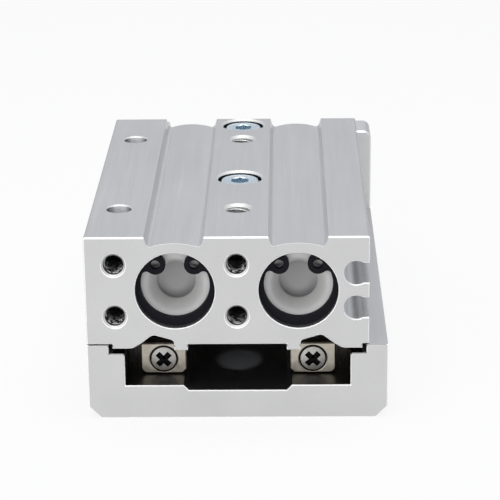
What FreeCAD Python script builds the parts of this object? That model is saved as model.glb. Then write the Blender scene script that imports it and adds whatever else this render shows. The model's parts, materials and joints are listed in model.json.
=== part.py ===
import FreeCAD, Part
import math
import os

from FreeCAD import Vector

# Twin-piston pneumatic slide table, drawn retracted, in millimetres.
# X runs across the table, +Y is the way the table slides out, +Z is up.
# The origin is the middle of the table's mounting face, its lowest face.
# Lengths along the stroke are measured from the rear face, where the head caps are.

# Cylinders
bore_diameter = 12.0
mouth_diameter = 13.2  # wider pocket at both ends of each bore
bore_web = 7.16  # metal between the two mouths
stroke = 30.0
rod_diameter = 6.0
rod_clearance = 0.03
piston_clearance = 0.08
fit_clearance = 0.05  # still pieces in their pockets
mouth_chamfer = 0.15

# Head caps and retaining rings
ring_depth = 1.5  # mouth to the face of the ring
ring_thickness = 1.0
ring_groove = 0.4  # groove depth outside the mouth
ring_inner_diameter = 11.44
ring_eccentricity = 0.53
ring_lug_radius = 1.68
ring_lug_x = 3.2
ring_lug_z = 4.05
ring_lug_fillet = 0.7
ring_hole_diameter = 1.6
ring_gap = 3.7
cap_flange = 2.0
cap_spigot = 3.75
dish_depth = 3.4
dish_floor_diameter = 6.1
dish_mouth_diameter = 9.6
dish_mouth_round = 1.6
dish_floor_round = 0.4
seal_ring_width = 1.3
seal_ring_height = 1.18

# Pistons
piston_length = 10.0
piston_rest_gap = 0.5  # piston to bumper at each end of the stroke
bumper_length = 2.0
head_bumper_diameter = 8.0
rod_bumper_diameter = 10.2
rod_spigot_diameter = 4.0
nut_width = 7.0
nut_thickness = 2.2
piston_seal_width = 1.7
magnet_width = 2.0
magnet_height = 1.35

# Rod covers
rod_cover_length = 13.0
rod_cover_recess = 4.65  # ring to the front face of the body
rod_seal_width = 2.4
rod_seal_height = 1.5

# Body section, from the guide upwards
foot_clearance = 0.55  # over the rails
foot_height = 1.05
foot_width = 2.3
rib_rise = 0.3
flange_rise = 1.1
pocket_height = 2.74
pocket_roof_width = 3.5
pocket_roof_angle = 16.7
pocket_flank_angle = 37.4
pocket_corner_radius = 0.7
crown_radius = 1.2
flank_radius = 2.7
bore_floor_wall = 1.15
arch_wall = 1.66
valley_depth = 1.1  # crest of the arch below the top face
valley_floor_drop = 1.73
valley_top_width = 9.86
valley_floor_width = 8.9
valley_floor_round = 0.9
valley_arch_radius = 13.3
bore_side_wall = 5.07  # mouth to the face with the sensor grooves
body_edge_round = 0.4
end_chamfer = 0.25  # ends of the ridges and faces of the end plate
edge_break = 0.18  # other edges of the body's ends
sensor_groove_diameter = 4.1
sensor_groove_pitch = 6.04
sensor_groove_inset = 2.16
sensor_slot_width = 3.45

# Holes in the body
m4_core = 3.3
m5_core = 4.2
rear_hole_depth = 8.0
rear_hole_pitch = 9.0
m4_mouth = 4.35
tapped_mouth_angle = 100  # of the countersinks on M4 holes
mount_edge = 4.8  # left face to the first column of holes
mount_rear = 15.3
mount_front = 14.4  # front face to the last row of holes
mount_mouth = 4.7
mount_spot_face = 6.2  # clears the rib under the first column
centre_mount_mouth = 5.2
port_depth = 5.5
port_passage = 1.8
port_mouth = 5.4
guide_screw_rear = 7.0  # end of the guide block to its first screw
guide_screw_front = 4.4  # front face to the last screw
counterbore_clearance = 0.4
counterbore_chamfer = 0.4

# Table and end plate
sensor_side_inset = 3.15  # body face inside the table's edge
table_floor = 5.85
wall_thickness = 6.2
wall_gap = 0.15  # under the body's flanges
ledge_drop = 1.55
ledge_width = 2.65
ledge_round = 0.4
rib_gap = 0.7
trough_depth = 0.9
trough_chamfer = 0.85
trough_floor_width = 16.4
table_corner_chamfer = 2.0
table_edge_break = 0.15
table_hole_edge = 4.0  # table's side to the tapped holes
table_hole_depth = 7.5
table_hole_rear = 20.0
table_hole_front = 19.0
end_gap = 1.0  # body to end plate
end_plate_thickness = 8.0
end_plate_drop = 3.0  # below the body's top
end_plate_lift = 0.3  # above the table's mounting face
end_plate_corner = 1.5
end_plate_screw_z = 6.0
end_plate_hole_edge = 5.5
end_plate_hole_low = 14.0
end_plate_hole_pitch = 11.0

# Guide
guide_width = 15.8  # block between its two rows of rollers
guide_seat_width = 16.3
guide_gap = 1.0  # block to rail
guide_rear = 26.0
guide_front = 0.5
guide_floor_gap = 0.5
rail_height = 5.75
rail_rear = 7.5
rail_front_gap = 0.3  # front end pieces to the end plate
rail_screw_end = 10.5
rail_screw_count = 3
roller_diameter = 2.0
roller_clearance = 0.02
roller_pitch = 2.9
cage_thickness = 0.5
cage_border = 0.75
cage_window_clearance = 0.06
cage_margin = 0.25

# Pieces screwed to the ends of the rails
end_piece_width = 7.6
end_piece_height = 5.4
end_piece_thickness = 2.4
end_piece_overhang = 0.1  # past the rail's running face
end_piece_round = 1.1  # lower corner beside the wall
end_piece_corner = 0.7  # chamfered lower corner beside the guide block
end_piece_bevel = 0.22  # along the upper edge
end_piece_edge = 0.15
end_screw_diameter = 2.5
end_screw_length = 7.0
end_screw_head = 4.15
end_screw_head_height = 1.3
end_screw_pocket = 4.75
end_screw_sink = 1.1
end_screw_drop = 0.19  # below the rollers' middle
cross_width = 1.0
cross_span = 2.9
cross_depth = 0.9
cross_core_diameter = 1.45  # cone where the arms meet
cross_core_depth = 1.5

# Socket screws: thread, head diameter, head height, hexagon and length
m4_thread = 4.0
m4_head = 7.0
m4_head_height = 4.0
m4_hexagon = 3.0
m3_thread = 3.0
m3_head = 5.5
m3_head_height = 3.0
m3_hexagon = 2.5
thread_clearance = 0.02
shank_clearance = 0.2
head_sink = 0.5  # heads below the faces that they are sunk in
rail_head_sink = 0.3
guide_screw_bite = 6.0
end_plate_screw_bite = 8.0
rail_screw_bite = 4.0
rod_screw_bite = 6.0
head_edge = 0.3
key_mouth_ratio = 1.18  # mouth of a hexagon socket over its width
key_mouth_angle = 120

# Floating bushes that join the rods to the end plate
bush_flange_diameter = 8.0
bush_flange = 1.8
bush_neck_diameter = 5.4
bush_land = 1.7
bush_float = 0.1
bush_side_float = 0.2

# Places worked out from the sizes above
bore_radius = bore_diameter / 2
mouth_radius = mouth_diameter / 2
rod_radius = rod_diameter / 2
bore_x = mouth_radius + bore_web / 2
body_right = bore_x + mouth_radius + bore_side_wall
half_width = body_right + sensor_side_inset
rail_top = table_floor + rail_height
foot_z = rail_top + foot_clearance
seat_z = foot_z + foot_height
rib_z = foot_z + rib_rise
flange_z = foot_z + flange_rise
crown_z = foot_z + pocket_height
bore_z = crown_z + bore_floor_wall + mouth_radius
arch_top = bore_z + mouth_radius + arch_wall
body_top = arch_top + valley_depth
wall_top = flange_z - wall_gap
ledge_z = wall_top - ledge_drop
end_plate_top = body_top - end_plate_drop

cap_face = ring_depth + ring_thickness + fit_clearance
cap_seat = cap_face + cap_flange
cap_end = cap_seat + cap_spigot
piston_rear = cap_end + bumper_length + piston_rest_gap
piston_front = piston_rear + piston_length
rod_cover_rear = piston_front + stroke + piston_rest_gap + bumper_length
rod_cover_front = rod_cover_rear + rod_cover_length
rod_ring_rear = rod_cover_front + fit_clearance
rod_cover_seat = rod_cover_front - cap_flange
body_length = rod_ring_rear + ring_thickness + rod_cover_recess
table_length = body_length + end_gap
overall_length = table_length + end_plate_thickness
rear_y = -overall_length / 2

channel_half = half_width - wall_thickness
ledge_half = channel_half + ledge_width
rib_outer = ledge_half - rib_gap
foot_inner = guide_seat_width / 2 + fit_clearance
foot_outer = foot_inner + foot_width
crown_x = foot_outer + pocket_roof_width
guide_half = guide_width / 2
rail_inner = guide_half + guide_gap
rail_outer = channel_half - fit_clearance
roller_x = guide_half + guide_gap / 2
roller_z = table_floor + rail_height / 2
end_screw_z = roller_z - end_screw_drop
groove_reach = (roller_diameter / 2 + roller_clearance) * math.sqrt(2)
guide_end = body_length - guide_front
rail_front = table_length - rail_front_gap - end_piece_thickness
end_piece_x = rail_inner - end_piece_overhang + end_piece_width / 2
mount_x = -half_width + mount_edge
mount_rows = (mount_rear, body_length - mount_front)
guide_screw_rows = (guide_rear + guide_screw_rear, body_length - guide_screw_front)
rear_hole_rows = (bore_z - rear_hole_pitch / 2, bore_z + rear_hole_pitch / 2)
port_rows = (cap_end + bumper_length / 2, rod_cover_rear - bumper_length / 2)
table_hole_x = half_width - table_hole_edge
table_hole_rows = (table_hole_rear, table_length - table_hole_front)
end_plate_screw_x = half_width - table_hole_edge
sides = {"left": -1, "right": 1}


# Distance from the rear face, as a place along Y.
def at(distance):
    return rear_y + distance


def cylinder_y(diameter, x, z, start, end):
    return Part.makeCylinder(diameter / 2, end - start, Vector(x, at(start), z), Vector(0, 1, 0))


def cylinder_z(diameter, x, distance, bottom, top):
    return Part.makeCylinder(diameter / 2, top - bottom, Vector(x, at(distance), bottom), Vector(0, 0, 1))


def cylinder_x(diameter, distance, z, start, end):
    return Part.makeCylinder(diameter / 2, end - start, Vector(start, at(distance), z), Vector(1, 0, 0))


# Countersink whose wide end lies at a mouth and whose point lies inwards.
def countersink(mouth, mouth_place, inwards, angle=90):
    radius = mouth / 2
    depth = radius / math.tan(math.radians(angle / 2))
    return Part.makeCone(radius, 0, depth, mouth_place, inwards)


# Countersunk core of an M4 thread, as the solid to cut away.
def tapped_m4(mouth_place, inwards, depth):
    core = Part.makeCylinder(m4_core / 2, depth, mouth_place, inwards)
    return core.fuse(countersink(m4_mouth, mouth_place, inwards, tapped_mouth_angle))


# Face inside a closed outline of points, each with the radius of its rounding.
def rounded_face(points, radii):
    joints = []
    for index, here in enumerate(points):
        radius = radii[index]
        if radius == 0:
            joints.append((here, here, here))
            continue
        back = (points[index - 1] - here).normalize()
        ahead = (points[(index + 1) % len(points)] - here).normalize()
        half_angle = back.getAngle(ahead) / 2
        reach = radius / math.tan(half_angle)
        bisector = (back + ahead).normalize()
        nearest = here + bisector * (radius / math.sin(half_angle) - radius)
        joints.append((here + back * reach, nearest, here + ahead * reach))
    edges = []
    for index, (start, middle, end) in enumerate(joints):
        previous = joints[index - 1][2]
        if (start - previous).Length > 1e-6:
            edges.append(Part.makeLine(previous, start))
        if (end - start).Length > 1e-6:
            edges.append(Part.Arc(start, middle, end).toShape())
    return Part.Face(Part.Wire(edges))


def roundings(corners):
    return [corner[2] if len(corner) > 2 else 0 for corner in corners]


# Section across the stroke. Each corner is (x, z) or (x, z, radius of its rounding).
def section(corners, distance):
    points = [Vector(corner[0], at(distance), corner[1]) for corner in corners]
    return rounded_face(points, roundings(corners))


def prism(corners, start, end):
    return section(corners, start).extrude(Vector(0, end - start, 0))


# Solid of revolution about a bore axis, from (radius, distance) or (radius, distance, rounding).
def turned(profile, x, z):
    points = [Vector(x + corner[0], at(corner[1]), z) for corner in profile]
    return rounded_face(points, roundings(profile)).revolve(Vector(x, 0, z), Vector(0, 1, 0), 360)


def tube(outer, inner, x, z, start, end):
    return cylinder_y(outer, x, z, start, end).cut(cylinder_y(inner, x, z, start, end))


# Breaks the edges of the flat end faces at the given distances.
def break_ends(solid, distances, size):
    edges = []
    for edge in solid.Edges:
        box = edge.BoundBox
        for distance in distances:
            if abs(box.YMin - at(distance)) < 1e-4 and abs(box.YMax - at(distance)) < 1e-4:
                edges.append(edge)
    return solid.makeChamfer(size, edges)


# Wedge that bevels the upper edge of an end face, as the solid to cut away.
def top_bevel(size, distance, inwards, top):
    places = ((-1, -2), (2, 1), (-1, 1), (-1, -2))
    start = -half_width - size
    points = [Vector(start, at(distance + inwards * along * size), top + up * size) for along, up in places]
    return Part.Face(Part.makePolygon(points)).extrude(Vector(-2 * start, 0, 0))


def mirrored(solid, side):
    if side > 0:
        return solid
    return solid.mirror(Vector(0, 0, 0), Vector(1, 0, 0))


# Hexagonal prism along Z with two of its corners along Y.
def hexagon(width, bottom, height):
    corner = width / math.sqrt(3)
    turns = [math.radians(30 + 60 * step) for step in range(7)]
    points = [Vector(corner * math.cos(turn), corner * math.sin(turn), bottom) for turn in turns]
    return Part.Face(Part.makePolygon(points)).extrude(Vector(0, 0, height))


# Socket screw with its head's seat at a place and its head pointing along a direction.
def socket_screw(thread, head, head_height, key, length, place, direction):
    cap = Part.makeCylinder(head / 2, head_height)
    rim = [edge for edge in cap.Edges if abs(edge.BoundBox.ZMin - head_height) < 1e-4]
    cap = cap.makeChamfer(head_edge, rim)
    screw = cap.fuse(Part.makeCylinder(thread / 2, length, Vector(0, 0, -length)))
    head_top = Vector(0, 0, head_height)
    key_mouth = countersink(key_mouth_ratio * key, head_top, Vector(0, 0, -1), key_mouth_angle)
    screw = screw.cut([hexagon(key, head_height / 2, head_height), key_mouth])
    screw.Placement = FreeCAD.Placement(place, FreeCAD.Rotation(Vector(0, 0, 1), direction))
    return screw


def save(name, solids):
    shape = solids[0] if len(solids) == 1 else Part.makeCompound(solids)
    shape.exportStep("parts/" + name + ".step")


# Underside of the body from the outer rib to the guide seat, on one side.
def underside(side):
    flank_x = crown_x + (crown_z - rib_z) / math.tan(math.radians(pocket_flank_angle))
    corner_z = crown_z - pocket_roof_width * math.tan(math.radians(pocket_roof_angle))
    corners = [
        (rib_outer, flange_z, 0),
        (rib_outer, rib_z, 0),
        (flank_x, rib_z, flank_radius),
        (crown_x, crown_z, crown_radius),
        (foot_outer, corner_z, pocket_corner_radius),
        (foot_outer, foot_z, 0),
        (foot_inner, foot_z, 0),
        (foot_inner, seat_z, 0),
    ]
    return [(side * x, z, radius) for x, z, radius in corners]


# Valley over one bore, with the bore's wall arching up in its floor.
def valley(x, start, end):
    lean = (valley_top_width - valley_floor_width) / 2 / valley_floor_drop
    over = valley_depth
    top_half = valley_top_width / 2 + lean * over
    floor_half = valley_floor_width / 2
    floor_z = body_top - valley_floor_drop
    corners = [
        (x - top_half, body_top + over),
        (x + top_half, body_top + over),
        (x + floor_half, floor_z, valley_floor_round),
        (x - floor_half, floor_z, valley_floor_round),
    ]
    arch_z = arch_top - valley_arch_radius
    arch = cylinder_y(2 * valley_arch_radius, x, arch_z, start - over, end + over)
    return prism(corners, start - over, end + over).cut(arch)


def sensor_groove(z):
    x = body_right - sensor_groove_inset
    half_slot = sensor_slot_width / 2
    over = sensor_groove_inset
    slot = [
        (x, z - half_slot),
        (x + 2 * over, z - half_slot),
        (x + 2 * over, z + half_slot),
        (x, z + half_slot),
    ]
    round_part = cylinder_y(sensor_groove_diameter, x, z, -over, body_length + over)
    return round_part.fuse(prism(slot, -over, body_length + over))


# Stepped hole of one cylinder, with ring grooves and chamfered mouths at both ends.
def cylinder_cuts(x):
    groove_diameter = mouth_diameter + 2 * ring_groove
    chamfer_mouth = mouth_diameter + 2 * mouth_chamfer
    groove_starts = (ring_depth - fit_clearance, rod_ring_rear - fit_clearance)
    groove_width = ring_thickness + 2 * fit_clearance
    cuts = [
        cylinder_y(bore_diameter, x, bore_z, 0, body_length),
        cylinder_y(mouth_diameter, x, bore_z, 0, cap_seat),
        cylinder_y(mouth_diameter, x, bore_z, rod_cover_seat, body_length),
        countersink(chamfer_mouth, Vector(x, at(0), bore_z), Vector(0, 1, 0)),
        countersink(chamfer_mouth, Vector(x, at(body_length), bore_z), Vector(0, -1, 0)),
    ]
    for start in groove_starts:
        cuts.append(cylinder_y(groove_diameter, x, bore_z, start, start + groove_width))
    return cuts


def body_holes():
    cuts = []
    for x in (mount_x, 0):
        for z in rear_hole_rows:
            cuts.append(tapped_m4(Vector(x, at(0), z), Vector(0, 1, 0), rear_hole_depth))
    for row in mount_rows:
        for x, mouth in ((mount_x, mount_mouth), (0, centre_mount_mouth)):
            cuts.append(cylinder_z(m5_core, x, row, foot_z, body_top))
            cuts.append(countersink(mouth, Vector(x, at(row), body_top), Vector(0, 0, -1)))
        cuts.append(cylinder_z(mount_spot_face, mount_x, row, foot_z, flange_z))
    for row in guide_screw_rows:
        head_seat = body_top - m4_head_height - head_sink
        cuts.append(cylinder_z(m4_thread + 2 * shank_clearance, 0, row, foot_z, body_top))
        pocket = m4_head + 2 * counterbore_clearance
        cuts.append(cylinder_z(pocket, 0, row, head_seat, body_top))
        mouth = pocket + 2 * counterbore_chamfer
        cuts.append(countersink(mouth, Vector(0, at(row), body_top), Vector(0, 0, -1)))
    for row in port_rows:
        cuts.append(cylinder_x(m5_core, row, bore_z, -half_width, -half_width + port_depth))
        cuts.append(cylinder_x(port_passage, row, bore_z, -half_width, bore_x))
        cuts.append(countersink(port_mouth, Vector(-half_width, at(row), bore_z), Vector(1, 0, 0)))
    return cuts


def cylinder_body():
    corners = [(-half_width, body_top, body_edge_round), (body_right, body_top, body_edge_round)]
    corners += [(body_right, flange_z, 0)]
    corners += underside(1)
    corners += reversed(underside(-1))
    corners += [(-half_width, flange_z, 0)]
    groove_rows = (bore_z - sensor_groove_pitch / 2, bore_z + sensor_groove_pitch / 2)
    body = prism(corners, 0, body_length).cut([sensor_groove(z) for z in groove_rows])
    body = break_ends(body, (0, body_length), edge_break)
    cuts = [top_bevel(end_chamfer, 0, 1, body_top), top_bevel(end_chamfer, body_length, -1, body_top)]
    for side in sides.values():
        cuts.append(valley(side * bore_x, 0, body_length))
        cuts += cylinder_cuts(side * bore_x)
    return body.cut(cuts + body_holes())


# Internal retaining ring with two plier lugs, its widest part opposite the gap.
def retaining_ring(x, start):
    end = start + ring_thickness
    outer_diameter = mouth_diameter + 2 * (ring_groove - fit_clearance)
    disc = cylinder_y(outer_diameter, x, bore_z, start, end)
    hollow = cylinder_y(ring_inner_diameter, x, bore_z + ring_eccentricity, start, end)
    half_gap = ring_gap / 2
    gap = [
        (x - half_gap, bore_z),
        (x + half_gap, bore_z),
        (x + half_gap, bore_z + outer_diameter),
        (x - half_gap, bore_z + outer_diameter),
    ]
    band = disc.cut([hollow, prism(gap, start, end)])
    holes = []
    for side in sides.values():
        lug_x = x + side * ring_lug_x
        lug_z = bore_z + ring_lug_z
        lug = cylinder_y(2 * ring_lug_radius, lug_x, lug_z, start, end).common(disc)
        holes.append(cylinder_y(ring_hole_diameter, lug_x, lug_z, start, end))
        band = band.fuse(lug)
    band = band.removeSplitter()
    throats = [edge for edge in band.Edges if is_lug_throat(edge, x)]
    return band.makeFillet(ring_lug_fillet, throats).cut(holes)


# Whether an edge of a ring is the inner corner between a lug and the band.
def is_lug_throat(edge, x):
    box = edge.BoundBox
    if box.XLength > 1e-4 or box.ZLength > 1e-4:
        return False
    across = abs(box.XMin - x)
    height = box.ZMin - bore_z
    on_lug = abs(math.hypot(across - ring_lug_x, height - ring_lug_z) - ring_lug_radius) < 1e-4
    on_band = abs(math.hypot(across, height - ring_eccentricity) - ring_inner_diameter / 2) < 1e-4
    return on_lug and on_band and across > ring_lug_x


# Radius of the floor of a seal ring's groove, in a spigot of the bore's size.
def seal_groove_floor():
    return bore_radius - fit_clearance / 2 - seal_ring_height - fit_clearance


def seal_ring(x, centre):
    outer = bore_diameter - fit_clearance
    inner = outer - 2 * seal_ring_height
    return tube(outer, inner, x, bore_z, centre - seal_ring_width / 2, centre + seal_ring_width / 2)


# Head cap: flange in the mouth, spigot in the bore, and a dish in its outer face.
def head_cap(x):
    flange_radius = mouth_radius - fit_clearance
    spigot_radius = bore_radius - fit_clearance
    groove_floor = seal_groove_floor()
    groove_half = seal_ring_width / 2 + fit_clearance
    groove_middle = (cap_seat + cap_end) / 2
    dish_floor = cap_face + dish_depth
    profile = [
        (0, dish_floor),
        (dish_floor_diameter / 2, dish_floor, dish_floor_round),
        (dish_mouth_diameter / 2, cap_face, dish_mouth_round),
        (flange_radius, cap_face),
        (flange_radius, cap_seat),
        (spigot_radius, cap_seat),
        (spigot_radius, groove_middle - groove_half),
        (groove_floor, groove_middle - groove_half),
        (groove_floor, groove_middle + groove_half),
        (spigot_radius, groove_middle + groove_half),
        (spigot_radius, cap_end),
        (0, cap_end),
    ]
    return turned(profile, x, bore_z)


# Rod cover: guides the rod, holds the rod seal inside and a seal ring outside.
def rod_cover(x):
    flange_radius = mouth_radius - fit_clearance
    spigot_radius = bore_radius - fit_clearance
    groove_floor = seal_groove_floor()
    groove_half = seal_ring_width / 2 + fit_clearance
    groove_middle = rod_cover_groove()
    bearing_radius = rod_radius + rod_clearance
    seal_radius = rod_radius + rod_seal_height + fit_clearance
    seal_half = rod_seal_width / 2 + fit_clearance
    seal_middle = rod_seal_place()
    profile = [
        (bearing_radius, rod_cover_rear),
        (spigot_radius, rod_cover_rear),
        (spigot_radius, groove_middle - groove_half),
        (groove_floor, groove_middle - groove_half),
        (groove_floor, groove_middle + groove_half),
        (spigot_radius, groove_middle + groove_half),
        (spigot_radius, rod_cover_seat),
        (flange_radius, rod_cover_seat),
        (flange_radius, rod_cover_front),
        (bearing_radius, rod_cover_front),
        (bearing_radius, seal_middle + seal_half),
        (seal_radius, seal_middle + seal_half),
        (seal_radius, seal_middle - seal_half),
        (bearing_radius, seal_middle - seal_half),
    ]
    return turned(profile, x, bore_z)


def rod_cover_groove():
    return rod_cover_rear + rod_cover_length / 4


def rod_seal_place():
    return rod_cover_seat - rod_seal_width / 2


def rod_seal(x):
    inner = rod_diameter + 2 * rod_clearance
    outer = rod_diameter + 2 * rod_seal_height
    middle = rod_seal_place()
    return tube(outer, inner, x, bore_z, middle - rod_seal_width / 2, middle + rod_seal_width / 2)


def rod_bumper(x):
    inner = rod_diameter + 2 * shank_clearance
    return tube(rod_bumper_diameter, inner, x, bore_z, rod_cover_rear - bumper_length, rod_cover_rear)


def head_bumper(x):
    return cylinder_y(head_bumper_diameter, x, bore_z, cap_end, cap_end + bumper_length)


# Piston stations, from the nut's pocket forwards.
def nut_pocket_end():
    return piston_rear + nut_thickness + piston_rest_gap / 2


def piston_seal_start():
    return nut_pocket_end() + piston_length / 10


def magnet_start():
    return piston_front - piston_length / 8 - magnet_width


def piston(x):
    radius = bore_radius - piston_clearance
    bore = rod_spigot_diameter / 2 + thread_clearance
    pocket = nut_width / math.sqrt(3) + shank_clearance
    seal_floor = bore_radius - rod_clearance - seal_ring_height - fit_clearance
    magnet_floor = radius - magnet_height - fit_clearance
    seal_start = piston_seal_start() - fit_clearance
    seal_end = piston_seal_start() + piston_seal_width + fit_clearance
    magnet_rear = magnet_start() - fit_clearance
    magnet_front = magnet_start() + magnet_width + fit_clearance
    profile = [
        (pocket, piston_rear),
        (radius, piston_rear),
        (radius, seal_start),
        (seal_floor, seal_start),
        (seal_floor, seal_end),
        (radius, seal_end),
        (radius, magnet_rear),
        (magnet_floor, magnet_rear),
        (magnet_floor, magnet_front),
        (radius, magnet_front),
        (radius, piston_front),
        (bore, piston_front),
        (bore, nut_pocket_end()),
        (pocket, nut_pocket_end()),
    ]
    return turned(profile, x, bore_z)


def piston_seal(x):
    outer = bore_diameter - 2 * rod_clearance
    inner = outer - 2 * seal_ring_height
    start = piston_seal_start()
    return tube(outer, inner, x, bore_z, start, start + piston_seal_width)


def magnet(x):
    outer = bore_diameter - 2 * piston_clearance - 2 * fit_clearance
    inner = bore_diameter - 2 * piston_clearance - 2 * magnet_height
    return tube(outer, inner, x, bore_z, magnet_start(), magnet_start() + magnet_width)


def piston_nut(x):
    nut = hexagon(nut_width, 0, nut_thickness)
    nut = nut.cut(Part.makeCylinder(rod_spigot_diameter / 2 + thread_clearance, nut_thickness))
    place = Vector(x, at(nut_pocket_end()), bore_z)
    nut.Placement = FreeCAD.Placement(place, FreeCAD.Rotation(Vector(0, 0, 1), Vector(0, -1, 0)))
    return nut


# Stations of the joint between a rod and the end plate.
def bush_start():
    return table_length + bush_float


def bush_flange_end():
    return bush_start() + bush_flange


def bush_end():
    return bush_flange_end() + bush_land + bush_float


def piston_rod(x):
    shank = cylinder_y(rod_diameter, x, bore_z, piston_front, bush_start())
    spigot_rear = nut_pocket_end() - nut_thickness
    spigot = cylinder_y(rod_spigot_diameter, x, bore_z, spigot_rear, piston_front)
    depth = rod_screw_bite + 2 * shank_clearance
    thread = cylinder_y(m4_thread + 2 * thread_clearance, x, bore_z, bush_start() - depth, bush_start())
    return shank.fuse(spigot).cut(thread)


def floating_bush(x):
    flange = cylinder_y(bush_flange_diameter, x, bore_z, bush_start(), bush_flange_end())
    neck = cylinder_y(bush_neck_diameter, x, bore_z, bush_flange_end(), bush_end())
    hole = cylinder_y(m4_thread + 2 * shank_clearance, x, bore_z, bush_start(), bush_end())
    return flange.fuse(neck).cut(hole)


def rod_screw(x):
    length = bush_end() - bush_start() + rod_screw_bite
    place = Vector(x, at(bush_end()), bore_z)
    return socket_screw(m4_thread, m4_head, m4_head_height, m4_hexagon, length, place, Vector(0, 1, 0))


def guide_screw(distance):
    head_seat = body_top - m4_head_height - head_sink
    length = head_seat - seat_z + guide_screw_bite
    place = Vector(0, at(distance), head_seat)
    return socket_screw(m4_thread, m4_head, m4_head_height, m4_hexagon, length, place, Vector(0, 0, 1))


# Guide block under the body, with a vee for the rollers along each side.
def guide_block():
    seat_half = guide_seat_width / 2
    bottom = table_floor - trough_depth + guide_floor_gap
    shoulder = foot_z + fit_clearance
    vee_depth = groove_reach - guide_gap / 2
    right = [
        (guide_half, bottom),
        (guide_half, roller_z - vee_depth),
        (guide_half - vee_depth, roller_z),
        (guide_half, roller_z + vee_depth),
        (guide_half, shoulder),
        (seat_half, shoulder),
        (seat_half, seat_z),
    ]
    left = [(-x, z) for x, z in reversed(right)]
    block = prism(right + left, guide_rear, guide_end)
    depth = guide_screw_bite + 2 * shank_clearance
    diameter = m4_thread + 2 * thread_clearance
    return block.cut([cylinder_z(diameter, 0, row, seat_z - depth, seat_z) for row in guide_screw_rows])


def rail_screw_rows():
    first = rail_rear + rail_screw_end
    last = rail_front - rail_screw_end
    step = (last - first) / (rail_screw_count - 1)
    return [first + step * index for index in range(rail_screw_count)]


def rail_screw_x():
    return (rail_inner + rail_outer) / 2


def rail_head_seat():
    return rail_top - m3_head_height - rail_head_sink


# Side rail: vee on its inner face, sunk screws from above, tapped holes in its ends.
def rail(side):
    vee_depth = groove_reach - guide_gap / 2
    corners = [
        (rail_inner, table_floor),
        (rail_outer, table_floor),
        (rail_outer, rail_top, ledge_round),
        (rail_inner, rail_top, ledge_round),
        (rail_inner, roller_z + vee_depth),
        (rail_inner + vee_depth, roller_z),
        (rail_inner, roller_z - vee_depth),
    ]
    cuts = []
    for row in rail_screw_rows():
        shank = m3_thread + 2 * shank_clearance
        pocket = m3_head + 2 * shank_clearance
        cuts.append(cylinder_z(shank, rail_screw_x(), row, table_floor, rail_top))
        cuts.append(cylinder_z(pocket, rail_screw_x(), row, rail_head_seat(), rail_top))
    depth = end_screw_bite() + 2 * shank_clearance
    diameter = end_screw_diameter + 2 * thread_clearance
    cuts.append(cylinder_y(diameter, end_piece_x, end_screw_z, rail_rear, rail_rear + depth))
    cuts.append(cylinder_y(diameter, end_piece_x, end_screw_z, rail_front - depth, rail_front))
    return mirrored(prism(corners, rail_rear, rail_front).cut(cuts), side)


def rail_screw(side, distance):
    length = rail_head_seat() - table_floor + rail_screw_bite
    place = Vector(side * rail_screw_x(), at(distance), rail_head_seat())
    return socket_screw(m3_thread, m3_head, m3_head_height, m3_hexagon, length, place, Vector(0, 0, 1))


def end_screw_bite():
    return end_screw_length - (end_piece_thickness - end_screw_sink)


# Plated piece that closes a rail's end, with a pocket for its cross-recess screw.
def end_piece(side, outer_face, inner_face):
    low = roller_z - end_piece_height / 2
    high = roller_z + end_piece_height / 2
    near = end_piece_x - end_piece_width / 2
    far = end_piece_x + end_piece_width / 2
    corners = [
        (near, low + end_piece_corner),
        (near + end_piece_corner, low),
        (far, low, end_piece_round),
        (far, high),
        (near, high),
    ]
    start = min(outer_face, inner_face)
    end = max(outer_face, inner_face)
    plate = break_ends(prism(corners, start, end), (outer_face,), end_piece_edge)
    inwards = 1 if inner_face > outer_face else -1
    floor = outer_face + inwards * end_screw_sink
    pocket_start = min(outer_face, floor)
    pocket_end = max(outer_face, floor)
    hole = end_screw_diameter + 2 * shank_clearance
    pocket_place = Vector(end_piece_x, at(outer_face), end_screw_z)
    cuts = [
        top_bevel(end_piece_bevel, outer_face, inwards, high),
        cylinder_y(end_screw_pocket, end_piece_x, end_screw_z, pocket_start, pocket_end),
        countersink(end_screw_pocket + 2 * end_piece_edge, pocket_place, Vector(0, inwards, 0)),
        cylinder_y(hole, end_piece_x, end_screw_z, start, end),
    ]
    return mirrored(plate.cut(cuts), side)


# Cross-recess screw with a low domed head, seated in an end piece's pocket.
def end_screw(side, outer_face, inwards):
    head_radius = end_screw_head / 2
    dome_radius = (head_radius ** 2 + head_edge ** 2) / (2 * head_edge)
    head = Part.makeCylinder(head_radius, end_screw_head_height)
    dome = Part.makeSphere(dome_radius, Vector(0, 0, end_screw_head_height - dome_radius))
    head = head.common(dome)
    shank = Part.makeCylinder(end_screw_diameter / 2, end_screw_length, Vector(0, 0, -end_screw_length))
    screw = head.fuse(shank)
    arm = Part.makeBox(cross_span, cross_width, cross_depth + head_edge)
    arm.translate(Vector(-cross_span / 2, -cross_width / 2, end_screw_head_height - cross_depth))
    for turn in (45, 135):
        turned_arm = arm.copy()
        turned_arm.rotate(Vector(0, 0, 0), Vector(0, 0, 1), turn)
        screw = screw.cut(turned_arm)
    tip = Vector(0, 0, end_screw_head_height - cross_core_depth)
    screw = screw.cut(Part.makeCone(0, cross_core_diameter / 2, cross_core_depth, tip, Vector(0, 0, 1)))
    place = Vector(side * end_piece_x, at(outer_face + inwards * end_screw_sink), end_screw_z)
    screw.Placement = FreeCAD.Placement(place, FreeCAD.Rotation(Vector(0, 0, 1), Vector(0, -inwards, 0)))
    return screw


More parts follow.
